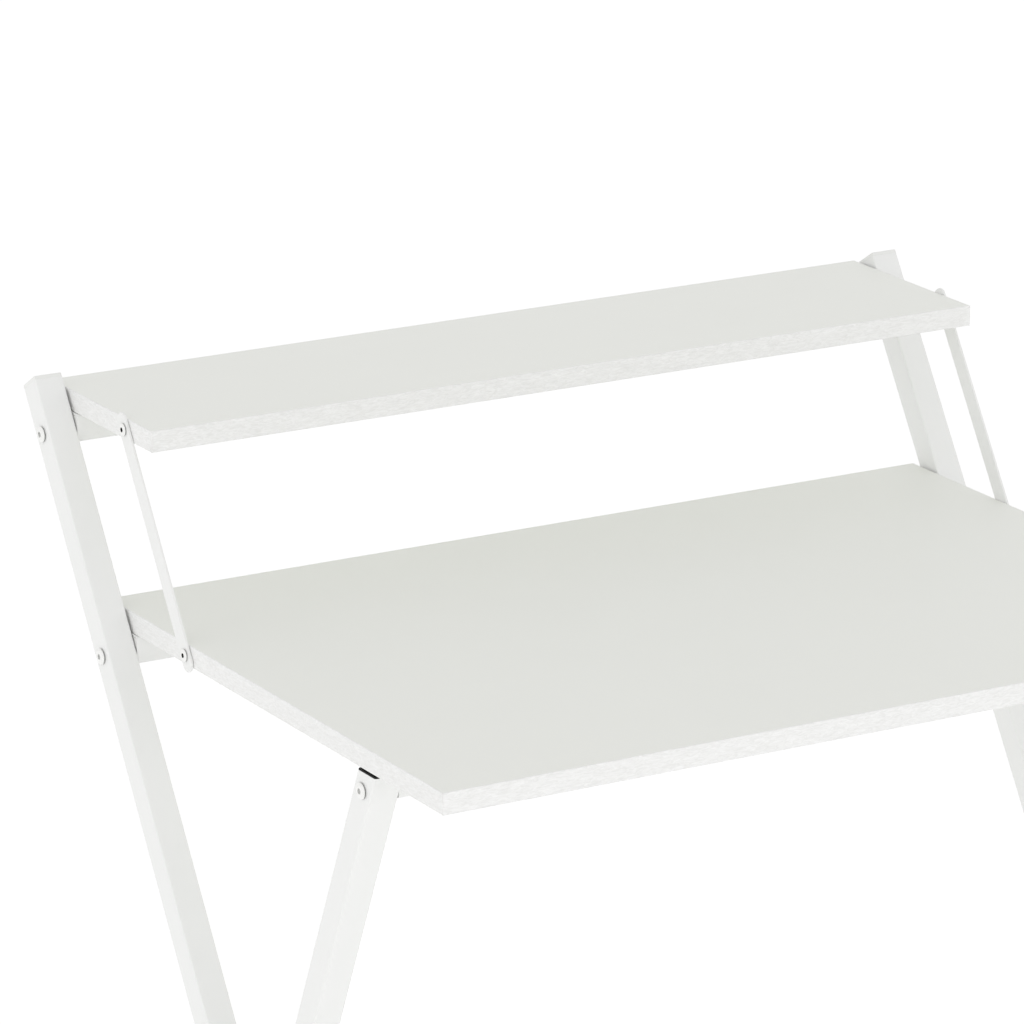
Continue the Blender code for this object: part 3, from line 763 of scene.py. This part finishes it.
def make_wood_screws():
    """The screws that hold the crossbars and the catches, heads down under the boards."""
    for body, nodes in (("desktop", crossbar_screws("desktop")), ("shelf", crossbar_screws("shelf")),
                        ("desktop", CATCH_SCREWS)):
        height = WOOD_SCREW["height"]
        master = cross_head("wood_screw", length_along(nodes[0], Z, height), WOOD_SCREW)
        for node in nodes:
            middle = node_centre(node)
            place = Matrix.Translation((middle.x, middle.y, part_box(node)[0].z + height))
            piece = copy_of(master, node + "_turned", place @ Matrix.Rotation(math.pi, 4, "X"))
            dress(piece, [paint], FASTENER_SLOT, body, node)
        bpy.data.objects.remove(master, do_unlink=True)


# Moulded pieces and nuts, rounded from their solids

def make_rounded(node, material, slot, body, edge):
    """A copy of a solid, welded, its flat faces made whole and its edges rounded."""
    piece = bpy.data.objects.new(node + "_rounded", frame["nodes"][node].data.copy())
    bpy.context.scene.collection.objects.link(piece)
    merge_flat(piece)
    soften(piece, edge, steps=FINE_STEPS)
    smooth(piece, SHARP_ANGLE)
    dress(piece, [material], slot, body, node)


def make_small_pieces():
    """Feet, plugs, catches, nuts and spacers."""
    for side, sign in SIDES:
        make_rounded("post_foot_" + side, grey_plastic, GREY_SLOT, "post_frame", PLASTIC_EDGE)
        make_rounded("leg_foot_" + side, grey_plastic, GREY_SLOT, "leg_frame", PLASTIC_EDGE)
        make_rounded("leg_top_plug_" + side, black_plastic, BLACK_SLOT, "leg_frame", PLASTIC_EDGE / 2)
        make_rounded("desktop_crossbar_plug_" + side, white_plastic, WHITE_SLOT, "desktop", PLUG_EDGE)
        make_rounded("shelf_crossbar_plug_" + side, white_plastic, WHITE_SLOT, "shelf", PLUG_EDGE)
        make_rounded("leg_top_bar_plug_" + side, white_plastic, WHITE_SLOT, "leg_frame", PLUG_EDGE)
        make_rounded("front_catch_" + side, black_plastic, BLACK_SLOT, "desktop", PLASTIC_EDGE)
        make_rounded("cross_pivot_spacer_" + side, black_plastic, BLACK_SLOT, "leg_frame", PLASTIC_EDGE)
        make_rounded("cross_pivot_nut_" + side, paint, FASTENER_SLOT, "leg_frame", NUT_EDGE)


make_board("desktop", "desktop")
make_board("shelf", "shelf")
make_posts()
make_legs()
make_bar("desktop_crossbar", CROSSBAR_WIDTH, 0, "desktop", crossbar_screws("desktop"))
make_bar("shelf_crossbar", CROSSBAR_WIDTH, 0, "shelf", crossbar_screws("shelf"))
make_bar("leg_top_bar", CROSSBAR_WIDTH, 0, "leg_frame")
make_bar("front_floor_bar", FLOOR_BAR_WIDTH, -POST_LEAN, "post_frame")
make_bar("rear_floor_bar", FLOOR_BAR_WIDTH, LEG_LEAN, "leg_frame")
make_welds("front_floor_bar", -POST_LEAN, "post_frame")
make_welds("rear_floor_bar", LEG_LEAN, "leg_frame")
make_links()
make_bolts()
make_wood_screws()
make_small_pieces()


# Floor, light and camera

FLOOR_SIZE = 40.0
FLOOR_COLOUR = "#FAFAFA"
FLOOR_LIFT = 0.23
SKY_ABOVE = 0.775
SKY_LEVEL = 0.95
LEFT_LAMP = {"place": (-4.0, -0.6, 0.9), "target": (0, 0, 0.6), "size": (2.5, 2.5), "power": 15}
FRONT_LAMP = {"place": (0.4, -4.5, 0.5), "target": (0, 0, 0.6), "size": (2.5, 2.5), "power": 29}
UNDER_LAMP = {"place": (0, 0, 0.001), "target": (0, 0, 1), "size": (8.0, 8.0), "power": 20}
CAMERA_PLACE = (-2.3392, -3.7954, 2.1454)
CAMERA_PITCH = 73.316
CAMERA_YAW = -30.108
CAMERA_LENS = 211.52
SENSOR = 36.0


def seen_directly(tree):
    """One where a surface is seen by the camera, or in gloss or glass."""
    path = tree.nodes.new("ShaderNodeLightPath")
    first = add(tree, "ShaderNodeMath", {0: path.outputs["Is Camera Ray"], 1: path.outputs["Is Glossy Ray"]},
                operation="MAXIMUM")
    both = add(tree, "ShaderNodeMath", {0: first.outputs["Value"], 1: path.outputs["Is Transmission Ray"]},
               operation="MAXIMUM")
    return both.outputs["Value"]


def make_floor():
    """A plain white floor, which keeps the desk's shadow."""
    bpy.ops.object.select_all(action="DESELECT")
    bpy.ops.mesh.primitive_plane_add(size=FLOOR_SIZE)
    floor = bpy.context.object
    floor.name = "studio_floor"
    material = bpy.data.materials.new("studio_floor_white")
    material.use_nodes = True
    tree = material.node_tree
    tree.nodes.clear()
    matt = add(tree, "ShaderNodeBsdfDiffuse", {"Color": srgb(FLOOR_COLOUR)})
    glow = add(tree, "ShaderNodeEmission", {"Strength": FLOOR_LIFT})
    lifted = add(tree, "ShaderNodeAddShader", {0: matt.outputs["BSDF"], 1: glow.outputs["Emission"]})
    mixed = add(tree, "ShaderNodeMixShader", {0: seen_directly(tree), 1: matt.outputs["BSDF"],
                                              2: lifted.outputs["Shader"]})
    add(tree, "ShaderNodeOutputMaterial", {"Surface": mixed.outputs["Shader"]})
    floor.data.materials.append(material)


def make_sky():
    """A white studio, a little dimmer overhead than at the walls."""
    world = bpy.data.worlds.new("white_studio")
    bpy.context.scene.world = world
    world.use_nodes = True
    tree = world.node_tree
    tree.nodes.clear()
    direction = tree.nodes.new("ShaderNodeTexCoord").outputs["Generated"]
    height = add(tree, "ShaderNodeSeparateXYZ", {"Vector": direction})
    level = add(tree, "ShaderNodeMapRange", {"Value": height.outputs["Z"], "To Min": SKY_LEVEL,
                                             "To Max": SKY_ABOVE})
    light = add(tree, "ShaderNodeBackground", {"Strength": level.outputs["Result"]})
    seen = add(tree, "ShaderNodeBackground", {"Strength": 1.0})
    for shade in (light, seen):
        shade.inputs["Color"].default_value = (1, 1, 1, 1)
    mixed = add(tree, "ShaderNodeMixShader", {0: seen_directly(tree), 1: light.outputs["Background"],
                                              2: seen.outputs["Background"]})
    add(tree, "ShaderNodeOutputWorld", {"Surface": mixed.outputs["Shader"]})


def make_lamp(name, place, target, size, power):
    """A large soft lamp, turned towards a point and out of the camera's sight."""
    lamp = bpy.data.lights.new(name, "AREA")
    lamp.shape = "RECTANGLE"
    lamp.size, lamp.size_y = size
    lamp.energy = power
    holder = bpy.data.objects.new(name, lamp)
    holder.location = place
    holder.rotation_euler = (Vector(target) - Vector(place)).to_track_quat("-Z", "Y").to_euler()
    holder.visible_camera = False
    bpy.context.scene.collection.objects.link(holder)


def make_camera():
    """The camera at the photograph's place, found by fitting it to the desk's corners."""
    camera = bpy.data.cameras.new("camera")
    camera.sensor_width = SENSOR
    camera.lens = CAMERA_LENS
    holder = bpy.data.objects.new("camera", camera)
    holder.location = CAMERA_PLACE
    holder.rotation_euler = (math.radians(CAMERA_PITCH), 0, math.radians(CAMERA_YAW))
    bpy.context.scene.collection.objects.link(holder)
    bpy.context.scene.camera = holder


make_floor()
make_sky()
make_lamp("left_lamp", **LEFT_LAMP)
make_lamp("front_lamp", **FRONT_LAMP)
make_lamp("under_lamp", **UNDER_LAMP)
make_camera()
bpy.context.scene.view_settings.view_transform = "Standard"
